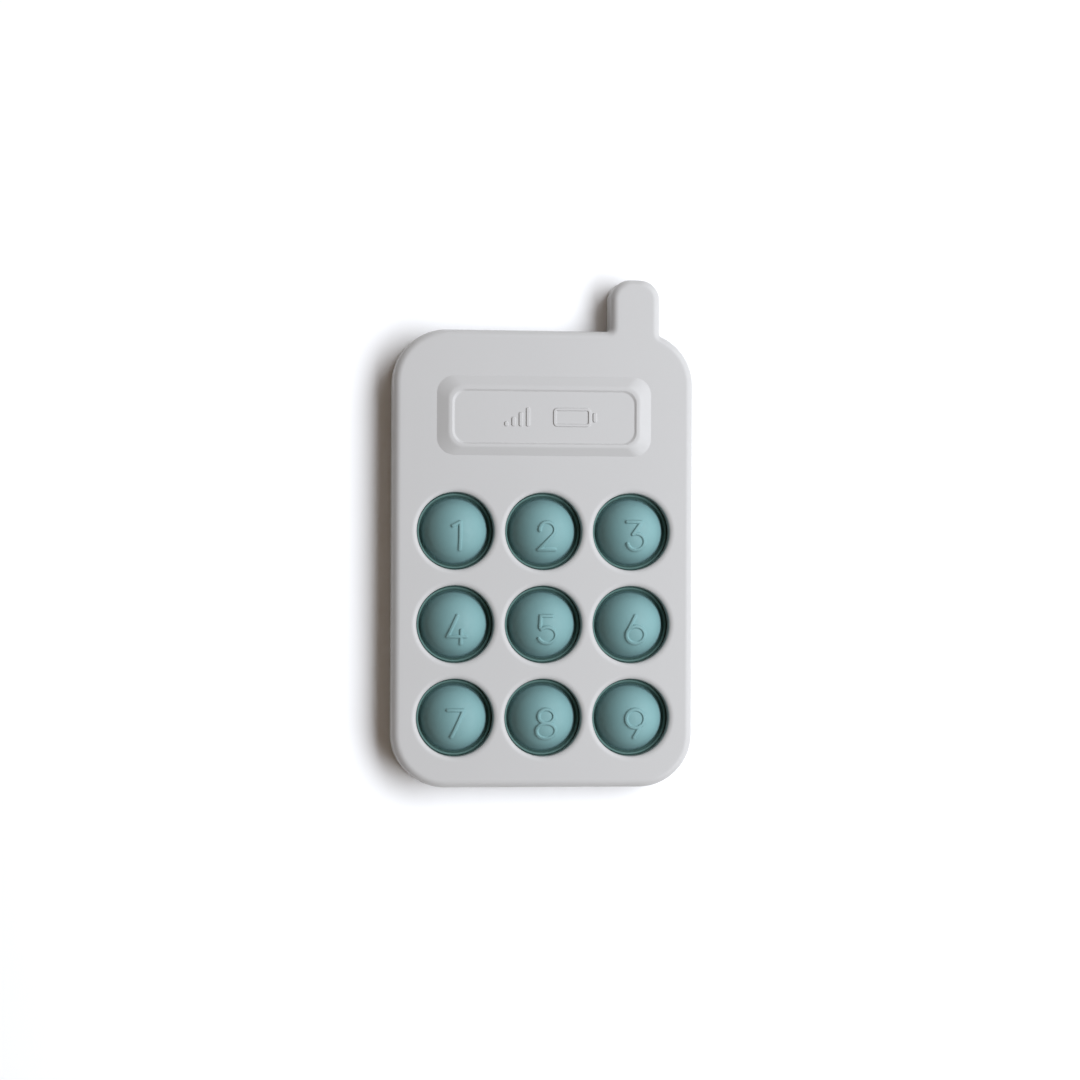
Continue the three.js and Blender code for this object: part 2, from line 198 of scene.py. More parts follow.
# How many straight pieces stand for an arc, and how close two points are merged, in metres.
ROUND_STEPS = 96
POST_STEPS = 40
CORNER_STEPS = 24
FOOT_STEPS = 8
SMALL_CORNER_STEPS = 10
ROUNDING_STEPS = 7
MERGE_DISTANCE = 1e-7


def centre_of(node):
    """The middle of a CAD node's box, seen from the front."""
    low, high = box_mm(node)
    return (low.x + high.x) / 2, (low.y + high.y) / 2


KEY_PLACES = {key: centre_of(f"bubble_wall_{key}") for key in KEYS}
SCREW_PLACES = {screw: centre_of(f"shell_screw_{screw}") for screw in SCREWS}


# Outlines: lists of (x, y), anticlockwise seen from the front.


def arc(x, y, radius, start, end, steps):
    """Points along an arc, its angles in degrees, both ends included."""
    points = []
    for step in range(steps + 1):
        angle = math.radians(start + (end - start) * step / steps)
        points.append((x + radius * math.cos(angle), y + radius * math.sin(angle)))
    return points


def circle(x, y, radius, steps):
    return arc(x, y, radius, 0, 360, steps)[:-1]


def rounded_rectangle(x, y, width, height, corner):
    dx = width / 2 - corner
    dy = height / 2 - corner
    points = []
    for turn, (sx, sy) in enumerate(((1, -1), (1, 1), (-1, 1), (-1, -1))):
        start = 90 * turn - 90
        points += arc(x + sx * dx, y + sy * dy, corner, start, start + 90, SMALL_CORNER_STEPS)
    return points


def phone_outline(inset):
    """The silhouette, moved inwards. The antenna's right side rises from the corner arc."""
    corner = BODY_CORNER - inset
    corner_x = BODY_WIDTH / 2 - BODY_CORNER
    corner_top = BODY_TOP - BODY_CORNER
    corner_bottom = BODY_BOTTOM + BODY_CORNER
    body_top = BODY_TOP - inset
    left = ANTENNA_X - ANTENNA_WIDTH / 2 + inset
    right = ANTENNA_X + ANTENNA_WIDTH / 2 - inset
    tip = ANTENNA_CORNER - inset
    tip_y = body_top + ANTENNA_LENGTH - tip
    foot = ANTENNA_FOOT + inset
    foot_x = right + foot
    foot_y = corner_top + math.sqrt((corner + foot) ** 2 - (foot_x - corner_x) ** 2)
    meeting = math.degrees(math.atan2(foot_y - corner_top, foot_x - corner_x))
    points = arc(corner_x, corner_bottom, corner, -90, 0, CORNER_STEPS)
    points += arc(corner_x, corner_top, corner, 0, meeting, CORNER_STEPS)
    points += arc(foot_x, foot_y, foot, meeting + 180, 180, FOOT_STEPS)
    points += arc(right - tip, tip_y, tip, 0, 90, CORNER_STEPS)
    points += arc(left + tip, tip_y, tip, 90, 180, CORNER_STEPS)
    points += arc(left - foot, body_top + foot, foot, 0, -90, FOOT_STEPS)
    points += arc(-corner_x, corner_top, corner, 90, 180, CORNER_STEPS)
    points += arc(-corner_x, corner_bottom, corner, 180, 270, CORNER_STEPS)
    return points


def rounded_chain(corners):
    """A profile through (distance, z, rounding) corners, each rounded by an arc of that radius."""
    chain = []
    last = len(corners) - 1
    for index, (a, z, radius) in enumerate(corners):
        here = Vector((a, z))
        if radius == 0 or index in (0, last):
            chain.append((a, z))
            continue
        before = (Vector(corners[index - 1][:2]) - here).normalized()
        after = (Vector(corners[index + 1][:2]) - here).normalized()
        half = before.angle(after) / 2
        reach = radius / math.tan(half)
        middle = here + (before + after).normalized() * (radius / math.sin(half))
        first = here + before * reach - middle
        second = here + after * reach - middle
        sweep = first.angle_signed(second)
        for step in range(ROUNDING_STEPS + 1):
            turn = Matrix.Rotation(-sweep * step / ROUNDING_STEPS, 2)
            chain.append(tuple(middle + turn @ first))
    return chain


class Skin:
    """A mesh under construction, made of rings of points, strips between them and flat fills."""

    def __init__(self):
        self.points = []
        self.faces = []

    def ring(self, outline, z):
        start = len(self.points)
        self.points += [(x, y, z) for x, y in outline]
        return list(range(start, len(self.points)))

    def strip(self, low, high):
        count = len(low)
        for i in range(count):
            j = (i + 1) % count
            self.faces.append((low[i], low[j], high[j], high[i]))

    def chain(self, outline_at, corners):
        """Strips along a profile. outline_at(distance) gives the ring. Returns the end rings."""
        rings = [self.ring(outline_at(a), z) for a, z in rounded_chain(corners)]
        for low, high in zip(rings, rings[1:]):
            self.strip(low, high)
        return rings[0], rings[-1]

    def turned(self, x, y, corners, steps=ROUND_STEPS):
        """A chain round the upright axis at (x, y), along (radius, z, rounding) corners."""
        return self.chain(lambda radius: circle(x, y, radius, steps), corners)

    def fill(self, *rings):
        """A flat face inside the first ring and outside the others."""
        loops = [[Vector(self.points[i]) for i in ring] for ring in rings]
        flat = [i for ring in rings for i in ring]
        for triangle in tessellate_polygon(loops):
            self.faces.append(tuple(flat[i] for i in triangle))

    def made(self, name):
        mesh = bpy.data.meshes.new(name)
        mesh.from_pydata([tuple(v * MM for v in point) for point in self.points], [], self.faces)
        return finished(mesh, name)


def finished(mesh, name):
    """An object of a mesh whose close points are merged and whose faces all look outwards."""
    work = bmesh.new()
    work.from_mesh(mesh)
    bmesh.ops.remove_doubles(work, verts=work.verts, dist=MERGE_DISTANCE)
    bmesh.ops.dissolve_degenerate(work, edges=work.edges, dist=MERGE_DISTANCE)
    bmesh.ops.recalc_face_normals(work, faces=work.faces)
    work.to_mesh(mesh)
    work.free()
    mesh.shade_smooth()
    piece = bpy.data.objects.new(name, mesh)
    bpy.context.scene.collection.objects.link(piece)
    return piece


def flatten_shading(piece):
    """Large flat faces keep flat shading up to their rounded edges."""
    weights = piece.modifiers.new("weighted_normals", "WEIGHTED_NORMAL")
    weights.mode = "FACE_AREA"
    weights.weight = 100
    weights.keep_sharp = False


# The shells.


def front_side():
    """The profile from the ceiling's edge down the inside, round the rim and up to the face."""
    rim = SPLIT + SEAM / 2
    lap = SPLIT + LAP + LAP_GAP
    return [
        (WALL, THICKNESS - WALL, 0),
        (WALL, lap, 0),
        (LIP_INSET - LAP_GAP, lap, 0),
        (LIP_INSET - LAP_GAP, rim, 0),
        (0, rim, RIM_ROUND),
        (0, THICKNESS, EDGE_ROUND),
        (EDGE_ROUND + SUPPORT, THICKNESS, 0),
    ]


def hole_rounding(mouth, up):
    """The rounding of a key hole, wider than it is deep, and the flat strip round it."""
    profile = []
    for step in range(ROUNDING_STEPS + 1):
        angle = step / ROUNDING_STEPS * math.pi / 2
        radius = HOLE_RADIUS + HOLE_ROUND * (1 - math.cos(angle))
        profile.append((radius, mouth - up * HOLE_ROUND_DEPTH * (1 - math.sin(angle)), 0))
    profile.append((HOLE_RADIUS + HOLE_ROUND + SUPPORT / 4, mouth, 0))
    return profile


def front_shell():
    skin = Skin()
    ceiling = THICKNESS - WALL
    inner_edge, face_edge = skin.chain(phone_outline, front_side())
    ceiling_rings = [inner_edge]
    face_rings = [face_edge]
    tube_end = WEB_TOP + CLAMP_GAP
    for x, y in KEY_PLACES.values():
        tube = [
            (TUBE_RADIUS, ceiling, 0),
            (TUBE_RADIUS, tube_end, 0),
            (HOLE_RADIUS, tube_end, 0),
            *hole_rounding(THICKNESS, 1),
        ]
        foot, mouth = skin.turned(x, y, tube)
        ceiling_rings.append(foot)
        face_rings.append(mouth)
    for x, y in SCREW_PLACES.values():
        post = [
            (FRONT_POST_RADIUS, ceiling, 0),
            (FRONT_POST_RADIUS, SPLIT + SEAM, 0),
            (PILOT_RADIUS, SPLIT + SEAM, 0),
            (PILOT_RADIUS, ceiling - SEAM, 0),
        ]
        foot, end = skin.turned(x, y, post, POST_STEPS)
        ceiling_rings.append(foot)
        skin.fill(end)
    skin.fill(*ceiling_rings)
    face_rings.append(screen(skin))
    skin.fill(*face_rings)
    piece = skin.made("front_cover")
    flatten_shading(piece)
    return piece


def screen_ring(distance):
    """The screen frame's outline, moved inwards: less at its top and bottom than at its ends."""
    width = SCREEN_WIDTH - 2 * distance
    height = SCREEN_HEIGHT - 2 * distance * SCREEN_END_SHARE
    corner = SCREEN_CORNER - distance * SCREEN_CORNER_SHARE
    drop = distance * SCREEN_DROP_SHARE
    return rounded_rectangle(0, SCREEN_Y - drop, width, height, corner)


def screen(skin):
    """The raised frame and its panel. Returns the ring where the frame meets the face."""
    top = THICKNESS + SCREEN_RISE
    floor = top - PANEL_DEPTH
    ridge_end = SLOPE_WIDTH + RIDGE_WIDTH
    panel_start = ridge_end + PANEL_STEP
    profile = [
        (-SUPPORT, THICKNESS, 0),
        (0, THICKNESS, SCREEN_FOOT_ROUND),
        (SLOPE_WIDTH, top, SLOPE_ROUND),
        (ridge_end, top, PANEL_ROUND),
        (panel_start, floor, PANEL_ROUND),
        (panel_start + PANEL_STRIP, floor, 0),
    ]
    foot, panel_edge = skin.chain(screen_ring, profile)
    floor_rings = [panel_edge]
    low = PANEL_Y - MOTIF_HEIGHT / 2
    for bar in range(BAR_COUNT):
        height = MOTIF_HEIGHT * (bar + 1) / BAR_COUNT
        x = -MOTIF_SPREAD + (bar - (BAR_COUNT - 1) / 2) * BAR_PITCH
        floor_rings.append(relief(skin, x, low + height / 2, BAR_WIDTH, height, floor))
    floor_rings.append(battery(skin, MOTIF_SPREAD, floor))
    nub_x = MOTIF_SPREAD + BATTERY_WIDTH / 2 + BAR_WIDTH
    floor_rings.append(relief(skin, nub_x, PANEL_Y, BAR_WIDTH, MOTIF_HEIGHT / 2, floor))
    skin.fill(*floor_rings)
    return foot


def motif_side(floor):
    """The profile from the panel's floor up one side of a raised mark."""
    return [
        (-MOTIF_STRIP, floor, 0),
        (0, floor, MOTIF_FOOT_ROUND),
        (MOTIF_SLOPE, floor + MOTIF_RELIEF, MOTIF_TOP_ROUND),
    ]


def relief(skin, x, y, width, height, floor):
    """A small raised bar with soft edges. Returns the ring at its foot."""
    profile = [*motif_side(floor), (BAR_STRIP, floor + MOTIF_RELIEF, 0)]

    def outline(distance):
        inner_width = width - 2 * distance
        inner_height = height - 2 * distance
        return rounded_rectangle(x, y, inner_width, inner_height, BAR_CORNER - distance)

    foot, top = skin.chain(outline, profile)
    skin.fill(top)
    return foot


def battery(skin, x, floor):
    """A raised battery outline with its inside at the floor's height."""
    profile = [
        *motif_side(floor),
        (MOTIF_STROKE - MOTIF_SLOPE, floor + MOTIF_RELIEF, MOTIF_TOP_ROUND),
        (MOTIF_STROKE, floor, MOTIF_FOOT_ROUND),
        (MOTIF_STROKE + MOTIF_STRIP, floor, 0),
    ]

    def outline(distance):
        width = BATTERY_WIDTH - 2 * distance
        height = MOTIF_HEIGHT - 2 * distance
        return rounded_rectangle(x, PANEL_Y, width, height, BATTERY_CORNER - distance)

    foot, inside = skin.chain(outline, profile)
    skin.fill(inside)
    return foot


def rear_shell():
    skin = Skin()
    rim = SPLIT - SEAM / 2
    side = [
        (WALL, WALL, 0),
        (WALL, SPLIT + LAP, 0),
        (LIP_INSET, SPLIT + LAP, 0),
        (LIP_INSET, rim, 0),
        (0, rim, RIM_ROUND),
        (0, 0, EDGE_ROUND),
        (EDGE_ROUND + SUPPORT, 0, 0),
    ]
    inner_edge, back_edge = skin.chain(phone_outline, side)
    floor_rings = [inner_edge]
    back_rings = [back_edge]
    tube_end = WEB_BOTTOM - CLAMP_GAP
    for x, y in KEY_PLACES.values():
        tube = [
            (TUBE_RADIUS, WALL, 0),
            (TUBE_RADIUS, tube_end, 0),
            (HOLE_RADIUS, tube_end, 0),
            *hole_rounding(0, -1),
        ]
        foot, mouth = skin.turned(x, y, tube)
        floor_rings.append(foot)
        back_rings.append(mouth)
    for x, y in SCREW_PLACES.values():
        post = [
            (REAR_POST_RADIUS, WALL, 0),
            (REAR_POST_RADIUS, rim - SEAM, 0),
            (PILOT_RADIUS, rim - SEAM, 0),
            (PILOT_RADIUS, SEAT, 0),
            (RECESS_RADIUS, SEAT, 0),
            (RECESS_RADIUS, 0, RIM_ROUND),
            (RECESS_RADIUS + RIM_ROUND + SUPPORT / 2, 0, 0),
        ]
        foot, mouth = skin.turned(x, y, post, POST_STEPS)
        floor_rings.append(foot)
        back_rings.append(mouth)
    skin.fill(*floor_rings)
    skin.fill(*back_rings)
    piece = skin.made("back_cover")
    flatten_shading(piece)
    return piece


# The silicone.


def sheet_outline(inset):
    """A rounded rectangle round the keys, notched where the lowest posts pass."""
    left = KEY_PLACES[1][0] - SHEET_MARGIN + inset
    right = -left
    top = KEY_PLACES[1][1] + SHEET_MARGIN - inset
    bottom = KEY_PLACES[7][1] - SHEET_MARGIN + inset
    corner = SHEET_MARGIN - inset
    notch = REAR_POST_RADIUS + CLAMP_GAP + inset
    lowest = sorted(SCREW_PLACES.values(), key=lambda place: place[1])[:2]
    points = arc(left + corner, bottom + corner, corner, 180, 270, CORNER_STEPS)
    for x, y in sorted(lowest):
        lean = math.degrees(math.asin((bottom - y) / notch))
        points += arc(x, y, notch, 180 - lean, lean, CORNER_STEPS)
    points += arc(right - corner, bottom + corner, corner, -90, 0, CORNER_STEPS)
    points += arc(right - corner, top - corner, corner, 0, 90, CORNER_STEPS)
    points += arc(left + corner, top - corner, corner, 90, 180, CORNER_STEPS)
    return points


def bubble_sheet():
    skin = Skin()
    edge = [
        (SHEET_STRIP, WEB_TOP, 0),
        (0, WEB_TOP, SHEET_ROUND),
        (0, WEB_BOTTOM, SHEET_ROUND),
        (SHEET_STRIP, WEB_BOTTOM, 0),
    ]
    top_edge, bottom_edge = skin.chain(sheet_outline, edge)
    top_rings = [top_edge]
    bottom_rings = [bottom_edge]
    for x, y in KEY_PLACES.values():
        collar = [
            (COLLAR_OUTER, WEB_TOP, 0),
            (COLLAR_OUTER, COLLAR_TOP, COLLAR_ROUND),
            (COLLAR_INNER, COLLAR_TOP, COLLAR_ROUND),
            (COLLAR_INNER, GROOVE_BOTTOM, 0),
            (BUBBLE_RADIUS, GROOVE_BOTTOM, 0),
            (BUBBLE_RADIUS, WEB_BOTTOM, 0),
        ]
        foot, end = skin.turned(x, y, collar)
        top_rings.append(foot)
        bottom_rings.append(end)
    middle = sorted(SCREW_PLACES.values(), key=lambda place: place[1])[2:4]
    for x, y in middle:
        hole = [(REAR_POST_RADIUS + CLAMP_GAP, z, 0) for z in (WEB_TOP, WEB_BOTTOM)]
        high, low = skin.turned(x, y, hole, POST_STEPS)
        top_rings.append(high)
        bottom_rings.append(low)
    skin.fill(*top_rings)
    skin.fill(*bottom_rings)
    piece = skin.made("silicone_sheet")
    flatten_shading(piece)
    return piece


SPHERE_RADIUS = (BUBBLE_RADIUS**2 + BUBBLE_HEIGHT**2) / (2 * BUBBLE_HEIGHT)
SPHERE_Z = BUBBLE_BASE + BUBBLE_HEIGHT - SPHERE_RADIUS

# Digit strokes in tenths of the digit's height, from its middle: straight ones as
# (x0, y0, x1, y1), and parts of ellipses as (x, y, x radius, y radius, from, to) in degrees.
DIGITS = {
    1: ([(1.2, -5, 1.2, 4.9), (1.2, 4.9, -1.5, 3.5)], []),
    2: ([(2.9, 0.6, -2.3, -4.9), (-2.3, -4.9, 3.8, -4.9)], [(0.7, 2.3, 2.8, 2.7, -40, 185)]),
    3: ([(-2.2, 5.3, 3.1, 5.3), (3.1, 5.3, -0.2, 0.8)], [(1.1, -1.9, 3.2, 3, -165, 112)]),
    4: ([(0.3, 4.9, -3.2, -2.6), (-3.2, -2.6, 3.6, -2.6), (1.7, -0.4, 1.7, -5.2)], []),
    5: ([(2.7, 4.9, -1.6, 4.9), (-1.6, 4.9, -1.9, 0.7)], [(0.8, -2.1, 3.3, 2.9, -155, 132)]),
    6: ([(0.9, 5, -2, -0.6)], [(1.1, -1.9, 3.4, 3.1, 0, 360)]),
    7: ([(-3, 4.6, 2.7, 4.6), (2.7, 4.6, -1.6, -5)], []),
    8: ([], [(0.6, 2.4, 2.9, 2.5, 0, 360), (0.6, -2.9, 3.5, 2.8, 0, 360)]),
    9: ([(0.7, -5.3, 2.8, -1.1)], [(1, 1.5, 3.4, 3.3, 0, 360)]),
}


def line_distance(x, y, line):
    """How far each point is from a straight stroke's middle."""
    x0, y0, x1, y1 = line
    dx, dy = x1 - x0, y1 - y0
    along = np.clip(((x - x0) * dx + (y - y0) * dy) / (dx * dx + dy * dy), 0, 1)
    return np.hypot(x - x0 - along * dx, y - y0 - along * dy)


def arc_distance(x, y, stroke):
    """How far each point is from the middle of a stroke along part of an ellipse."""
    cx, cy, rx, ry, start, end = stroke
    u, v = (x - cx) / rx, (y - cy) / ry
    ratio = np.hypot(u, v)
    on_arc = np.abs(ratio - 1) * ratio / np.maximum(np.hypot(u / rx, v / ry), 1e-6)
    ends = []
    for degrees in (start, end):
        ex = cx + rx * math.cos(math.radians(degrees))
        ey = cy + ry * math.sin(math.radians(degrees))
        ends.append(np.hypot(x - ex, y - ey))
    angle = (np.degrees(np.arctan2(v, u)) - start) % 360
    return np.where(angle <= end - start, on_arc, np.minimum(*ends))


def smooth(value, low, high):
    t = np.clip((value - low) / (high - low), 0, 1)
    return t * t * (3 - 2 * t)


def digit_relief(digit, x, y):
    """How high the digit stands over the bubble at points counted from the bubble's middle."""
    unit = (DIGIT_HEIGHT - DIGIT_STROKE) / 10
    lines, arcs = DIGITS[digit]
    u, v = x / unit, (y + DIGIT_DROP) / unit
    distances = [line_distance(u, v, line) for line in lines]
    distances += [arc_distance(u, v, stroke) for stroke in arcs]
    nearest = np.minimum.reduce(distances) * unit
    half = DIGIT_STROKE / 2
    return DIGIT_RELIEF * (1 - smooth(nearest, half - STROKE_SOFT, half + STROKE_SOFT))


def dome(radius, skin):
    """The height of the bubble's sphere, skin millimetres inside its outer face."""
    return SPHERE_Z + np.sqrt(np.maximum((SPHERE_RADIUS - skin) ** 2 - radius**2, 0))


def bubble_rings():
    """(radius, height) pairs down the outside, round the root and up the inside."""
    fine = np.linspace(DIGIT_REACH, 0, DIGIT_RINGS, endpoint=False)[::-1]
    angles = np.arcsin(DIGIT_REACH / SPHERE_RADIUS), np.arcsin(BUBBLE_RADIUS / SPHERE_RADIUS)
    side = SPHERE_RADIUS * np.sin(np.linspace(*angles, SIDE_RINGS)[1:])
    outside = [(r, dome(r, 0)) for r in (*fine, *side)]
    root = [(BUBBLE_RADIUS + out, GROOVE_BOTTOM + up) for out, up in ROOT_FILLET]
    root += [(BUBBLE_RADIUS + out, ROOT_BOTTOM + up) for out, up in ROOT_FOOT]
    inner_radius = SPHERE_RADIUS - BUBBLE_SKIN
    angles = np.arccos((INSIDE_START - SPHERE_Z) / inner_radius), INSIDE_END_ANGLE
    inside = inner_radius * np.sin(np.linspace(*angles, INSIDE_RINGS))
    return outside, root, [(r, dome(r, BUBBLE_SKIN)) for r in inside]


def bubble(key):
    """One bubble as a single skin with its digit, from its root in the collar to its top."""
    cx, cy = KEY_PLACES[key]
    outside, root, inside = bubble_rings()
    profile = np.array([*outside, *root, *inside])
    angles = np.linspace(0, 2 * math.pi, BUBBLE_STEPS, endpoint=False)
    radius = profile[:, :1]
    x = radius * np.cos(angles)
    y = radius * np.sin(angles)
    z = np.repeat(profile[:, 1:], BUBBLE_STEPS, axis=1)
    count = len(outside)
    z[:count] += digit_relief(key, x[:count], y[:count])
    points = np.stack([x + cx, y + cy, z], axis=2).reshape(-1, 3)
    top = (cx, cy, dome(0, 0) + float(digit_relief(key, np.zeros(1), np.zeros(1))[0]))
    under = (cx, cy, dome(0, BUBBLE_SKIN))
    points = np.vstack([points, top, under])
    rings = len(profile)
    faces = []
    for ring in range(rings - 1):
        low, high = ring * BUBBLE_STEPS, (ring + 1) * BUBBLE_STEPS
        for i in range(BUBBLE_STEPS):
            j = (i + 1) % BUBBLE_STEPS
            faces.append((low + i, high + i, high + j, low + j))
    apex, last = rings * BUBBLE_STEPS, (rings - 1) * BUBBLE_STEPS
    for i in range(BUBBLE_STEPS):
        j = (i + 1) % BUBBLE_STEPS
        faces.append((apex, i, j))
        faces.append((apex + 1, last + j, last + i))
    mesh = bpy.data.meshes.new(f"bubble_{key}_skin")
    mesh.from_pydata((points * MM).tolist(), [], faces)
    return finished(mesh, f"bubble_{key}_skin")


def roll_over(piece, key):
    """A bubble turns inside out when its key is pressed. Here each point's share of the bubble's
    height on the dome

    is worked out, the point is laid out for a moment at the height that an easing curve turns into
    that share, and then put back.
    """
    cx, cy = KEY_PLACES[key]
    vertices = piece.data.vertices
    rest = np.empty(len(vertices) * 3)
    vertices.foreach_get("co", rest)
    rest = rest.reshape(-1, 3)
    radius = np.hypot(rest[:, 0] / MM - cx, rest[:, 1] / MM - cy)
    share = np.clip((dome(radius, 0) - BUBBLE_BASE) / BUBBLE_HEIGHT, 0, 1)
    share[radius >= BUBBLE_RADIUS] = 0
    laid_out = rest.copy()
    laid_out[:, 2] = 0.5 - np.sin(np.arcsin(1 - 2 * share) / 3)
    vertices.foreach_set("co", laid_out.ravel())
    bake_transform(piece)
    vertices.foreach_set("co", rest.ravel())
    piece.data.update()


# The screws.


def cross(x, y, width, length):
    """The outline of a cross recess."""
    a, b = width / 2, length / 2
    quarter = [(b, a), (a, a), (a, b)]
    points = []
    for turn in range(4):
        c, s = round(math.cos(turn * math.pi / 2)), round(math.sin(turn * math.pi / 2))
        points += [(x + c * u - s * v, y + s * u + c * v) for u, v in quarter]
    return points


def screw(number):
    x, y = SCREW_PLACES[number]
    skin = Skin()
    body = [
        (HEAD_FLAT, HEAD_BOTTOM, 0),
        (HEAD_RADIUS, HEAD_BOTTOM, HEAD_ROUND),
        (HEAD_RADIUS, HEAD_TOP, HEAD_EDGE_ROUND),
        (SHANK_RADIUS, HEAD_TOP, 0),
        (SHANK_RADIUS, SCREW_TIP - TAPER, 0),
        (SHANK_RADIUS * TAPER_SHARE, SCREW_TIP - TAPER / 2, 0),
        (TIP_RADIUS, SCREW_TIP, 0),
    ]
    head, tip = skin.turned(x, y, body, POST_STEPS)
    skin.fill(tip)
    mouth = skin.ring(cross(x, y, CROSS_WIDTH, CROSS_LENGTH), HEAD_BOTTOM)
    deep = skin.ring(cross(x, y, CROSS_FLOOR_WIDTH, CROSS_FLOOR_LENGTH), HEAD_BOTTOM + CROSS_DEPTH)
    skin.strip(mouth, deep)
    skin.fill(deep)
    skin.fill(head, mouth)
    piece = skin.made(f"screw_{number}")
    flatten_shading(piece)
    return piece


# The materials. Noise scales are per metre of the object.

# The middle part of a noise's range, which most of its values fill.
NOISE_MIDDLE = (0.3, 0.7)


def material(name, colour, roughness):
    made = bpy.data.materials.new(name)
    made.use_nodes = True
    shader = made.node_tree.nodes["Principled BSDF"]
    shader.inputs["Base Color"].default_value = (*colour, 1)
    shader.inputs["Roughness"].default_value = roughness
    return made, shader


def noise(made, scale, detail=2):
    """A noise in the row frame's coordinates, so that it keeps its size on every piece."""
    nodes = made.node_tree.nodes
    place = nodes.new("ShaderNodeTexCoord")
    texture = nodes.new("ShaderNodeTexNoise")
    texture.inputs["Scale"].default_value = scale
    texture.inputs["Detail"].default_value = detail
    made.node_tree.links.new(place.outputs["Object"], texture.inputs["Vector"])
    return texture.outputs["Fac"]


def ramp(made, value, low, high):
    """Stretches the middle part of a noise to the range from low to high."""
    node = made.node_tree.nodes.new("ShaderNodeMapRange")
    node.inputs["From Min"].default_value = NOISE_MIDDLE[0]
    node.inputs["From Max"].default_value = NOISE_MIDDLE[1]
    node.inputs["To Min"].default_value = low
    node.inputs["To Max"].default_value = high
    made.node_tree.links.new(value, node.inputs["Value"])
    return node.outputs["Result"]


def mottle(made, shader, colour, value, spread):
    """Lets the colour drift a little lighter and darker with a noise."""
    mix = made.node_tree.nodes.new("ShaderNodeMix")
    mix.data_type = "RGBA"
    mix.inputs["A"].default_value = (*(c * (1 - spread) for c in colour), 1)
    mix.inputs["B"].default_value = (*(min(c * (1 + spread), 1) for c in colour), 1)
    made.node_tree.links.new(value, mix.inputs["Factor"])
    made.node_tree.links.new(mix.outputs["Result"], shader.inputs["Base Color"])


def grain(made, shader, value, depth, strength):
    """A bump of that depth in metres."""
    bump = made.node_tree.nodes.new("ShaderNodeBump")
    bump.inputs["Distance"].default_value = depth
    bump.inputs["Strength"].default_value = strength
    made.node_tree.links.new(value, bump.inputs["Height"])
    made.node_tree.links.new(bump.outputs["Normal"], shader.inputs["Normal"])


def uneven_gloss(made, shader, value, low, high):
    """Lets the roughness wander from low to high with a noise."""
    made.node_tree.links.new(ramp(made, value, low, high), shader.inputs["Roughness"])


def cream_plastic():
    """Moulded plastic, off-white, with a fine matte grain."""
    colour = (0.44, 0.433, 0.425)
    made, shader = material("cream_plastic", colour, roughness=0.5)
    mottle(made, shader, colour, noise(made, scale=60), spread=0.012)
    uneven_gloss(made, shader, noise(made, scale=900), low=0.46, high=0.56)
    grain(made, shader, noise(made, scale=5000, detail=3), depth=0.02 * MM, strength=0.35)
    return made


def teal_silicone(name, colour):
    """Soft silicone, grey teal and satin, with a faint dusty sheen."""
    made, shader = material(name, colour, roughness=0.5)
    shader.inputs["Sheen Weight"].default_value = 0.06
    shader.inputs["Sheen Roughness"].default_value = 0.5
    shader.inputs["Sheen Tint"].default_value = (0.75, 0.95, 1, 1)
    mottle(made, shader, colour, noise(made, scale=220, detail=4), spread=0.035)
    uneven_gloss(made, shader, noise(made, scale=700), low=0.62, high=0.74)
    grain(made, shader, noise(made, scale=3500, detail=3), depth=0.02 * MM, strength=0.3)
    return made


def screw_steel():
    """Zinc-plated steel, grey, with an uneven gloss."""
    colour = (0.6, 0.61, 0.63)
    made, shader = material("screw_steel", colour, roughness=0.32)
    shader.inputs["Metallic"].default_value = 1
    uneven_gloss(made, shader, noise(made, scale=2500, detail=3), low=0.26, high=0.42)
    grain(made, shader, noise(made, scale=4000, detail=3), depth=0.01 * MM, strength=0.3)
    return made


def dress(piece, surface, slot, *nodes):
    """Gives a piece its material and hides the CAD nodes that it stands for. The slot is not used.
    """
    piece.data.materials.append(surface)
    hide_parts(*nodes)


def build_phone():
    cream, steel = cream_plastic(), screw_steel()
    thin = teal_silicone("teal_silicone", (0.15, 0.285, 0.29))
    # The sheet's silicone is painted darker and greener than the bubbles': this is painted shade
    # for the collar rings, which lie in shadow deep in the key holes.
    painted_shade_silicone = teal_silicone("painted_shade_teal_silicone", (0.1, 0.2, 0.18))
    front, rear, sheet = front_shell(), rear_shell(), bubble_sheet()
    dress(front, cream, "cream_plastic", "front_shell")
    dress(rear, cream, "cream_plastic", "rear_shell")
    dress(sheet, painted_shade_silicone, "teal_silicone", "bubble_sheet")
    for piece in (front, rear, sheet):
        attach(piece, "phone")
    for key in KEYS:
        piece = bubble(key)
        dress(piece, thin, "teal_silicone", f"bubble_wall_{key}", f"bubble_cap_{key}")
        roll_over(piece, key)
    for number in SCREWS:
        piece = screw(number)
        dress(piece, steel, "screw_steel", f"shell_screw_{number}")
        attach(piece, "phone")


# The studio. Lengths are in metres here, apart from LOOK_AT.

# The bright backdrop ends this many degrees above the horizon, and fades over a few more.
BACKDROP_TOP = 8
BACKDROP_FADE = 4
BACKDROP_COLOUR = (0.86, 0.87, 0.88)
ROOM_COLOUR = (0.11, 0.078, 0.05)

FLOOR_HALF = 1.5
PAPER_COLOUR = (0.97, 0.97, 0.97)
PAPER_ROUGHNESS = 0.9

# The window's size is its length along the floor and its height.
WINDOW_PLACE = (0.65, 0.085, 0.87)
WINDOW_SIZE = (1.8, 0.75)
WINDOW_POWER = 27.4
WINDOW_COLOUR = (0.895, 0.937, 1)

# The camera looks at LOOK_AT, in the frame's millimetres, from the direction LOOK_FROM, and
# its picture is WIDTH_SEEN wide there.
LOOK_AT = (-1, BODY_TOP - 60.6, 10)
LOOK_FROM = (-0.131, -0.013, 1)
CAMERA_DISTANCE = 0.91
WIDTH_SEEN = 312.2 * MM
ROLL = math.radians(0.243)


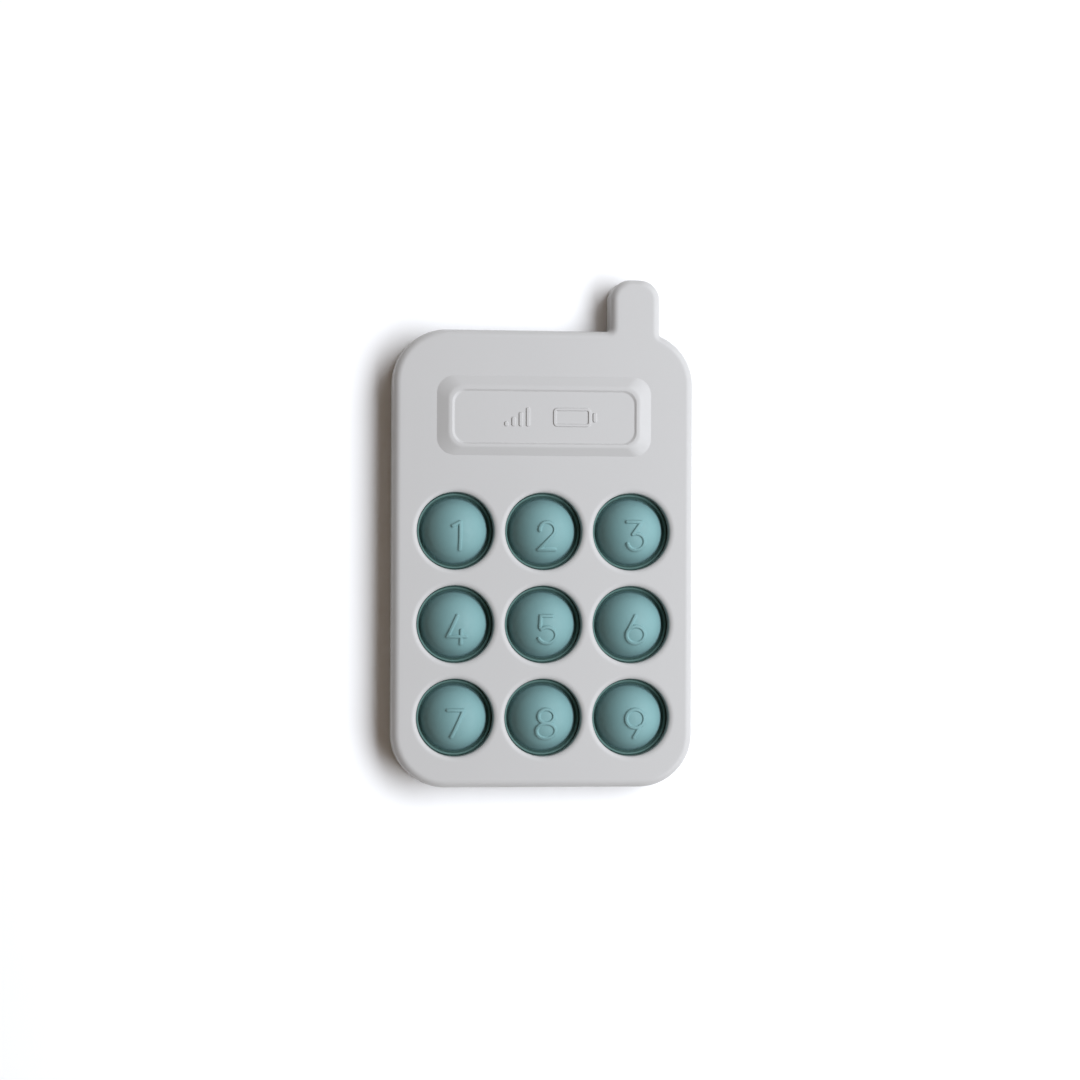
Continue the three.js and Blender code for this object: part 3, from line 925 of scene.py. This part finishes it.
def area_light(name, place, size, power, colour):
    """A rectangular softbox that faces the toy. Its first size runs along the floor."""
    data = bpy.data.lights.new(name, "AREA")
    data.shape = "RECTANGLE"
    data.size, data.size_y = size
    data.energy = power
    data.color = colour
    light = bpy.data.objects.new(name, data)
    light.location = place
    light.rotation_euler = Vector(place).to_track_quat("Z", "Y").to_euler()
    bpy.context.scene.collection.objects.link(light)


def room():
    """A dim warm room over a bright backdrop, which low views see behind the toy."""
    world = bpy.data.worlds.new("studio_world")
    world.use_nodes = True
    nodes, links = world.node_tree.nodes, world.node_tree.links
    direction = nodes.new("ShaderNodeTexCoord")
    split = nodes.new("ShaderNodeSeparateXYZ")
    rise = nodes.new("ShaderNodeMapRange")
    rise.inputs["From Min"].default_value = math.sin(math.radians(BACKDROP_TOP))
    rise.inputs["From Max"].default_value = math.sin(math.radians(BACKDROP_TOP + BACKDROP_FADE))
    mix = nodes.new("ShaderNodeMix")
    mix.data_type = "RGBA"
    mix.inputs["A"].default_value = (*BACKDROP_COLOUR, 1)
    mix.inputs["B"].default_value = (*ROOM_COLOUR, 1)
    links.new(direction.outputs["Generated"], split.inputs["Vector"])
    links.new(split.outputs["Z"], rise.inputs["Value"])
    links.new(rise.outputs["Result"], mix.inputs["Factor"])
    links.new(mix.outputs["Result"], nodes["Background"].inputs["Color"])
    return world


def studio():
    """A white floor, a wide soft window at the right, and the room round them."""
    mesh = bpy.data.meshes.new("floor")
    corners = [(x * FLOOR_HALF, y * FLOOR_HALF, 0) for x, y in ((-1, -1), (1, -1), (1, 1), (-1, 1))]
    mesh.from_pydata(corners, [], [(0, 1, 2, 3)])
    floor = bpy.data.objects.new("floor", mesh)
    bpy.context.scene.collection.objects.link(floor)
    paper, _ = material("white_paper", PAPER_COLOUR, PAPER_ROUGHNESS)
    mesh.materials.append(paper)
    area_light("window", WINDOW_PLACE, WINDOW_SIZE, WINDOW_POWER, WINDOW_COLOUR)
    bpy.context.scene.world = room()
    bpy.context.scene.view_settings.view_transform = "Standard"


def camera():
    """A long lens over the toy, a little to its left, so that the left side shows."""
    back = Vector(LOOK_FROM).normalized()
    right = Vector((0, 1, 0)).cross(back).normalized()
    up = back.cross(right)
    tilted_right = right * math.cos(ROLL) + up * math.sin(ROLL)
    tilted_up = up * math.cos(ROLL) - right * math.sin(ROLL)
    axes = Matrix((tilted_right, tilted_up, back)).transposed()
    place = Vector(LOOK_AT) * MM + back * CAMERA_DISTANCE
    data = bpy.data.cameras.new("camera")
    data.lens = data.sensor_width * CAMERA_DISTANCE / WIDTH_SEEN
    viewer = bpy.data.objects.new("camera", data)
    viewer.matrix_world = Matrix.Translation(place) @ axes.to_4x4()
    bpy.context.scene.collection.objects.link(viewer)
    bpy.context.scene.camera = viewer


build_phone()
studio()
camera()
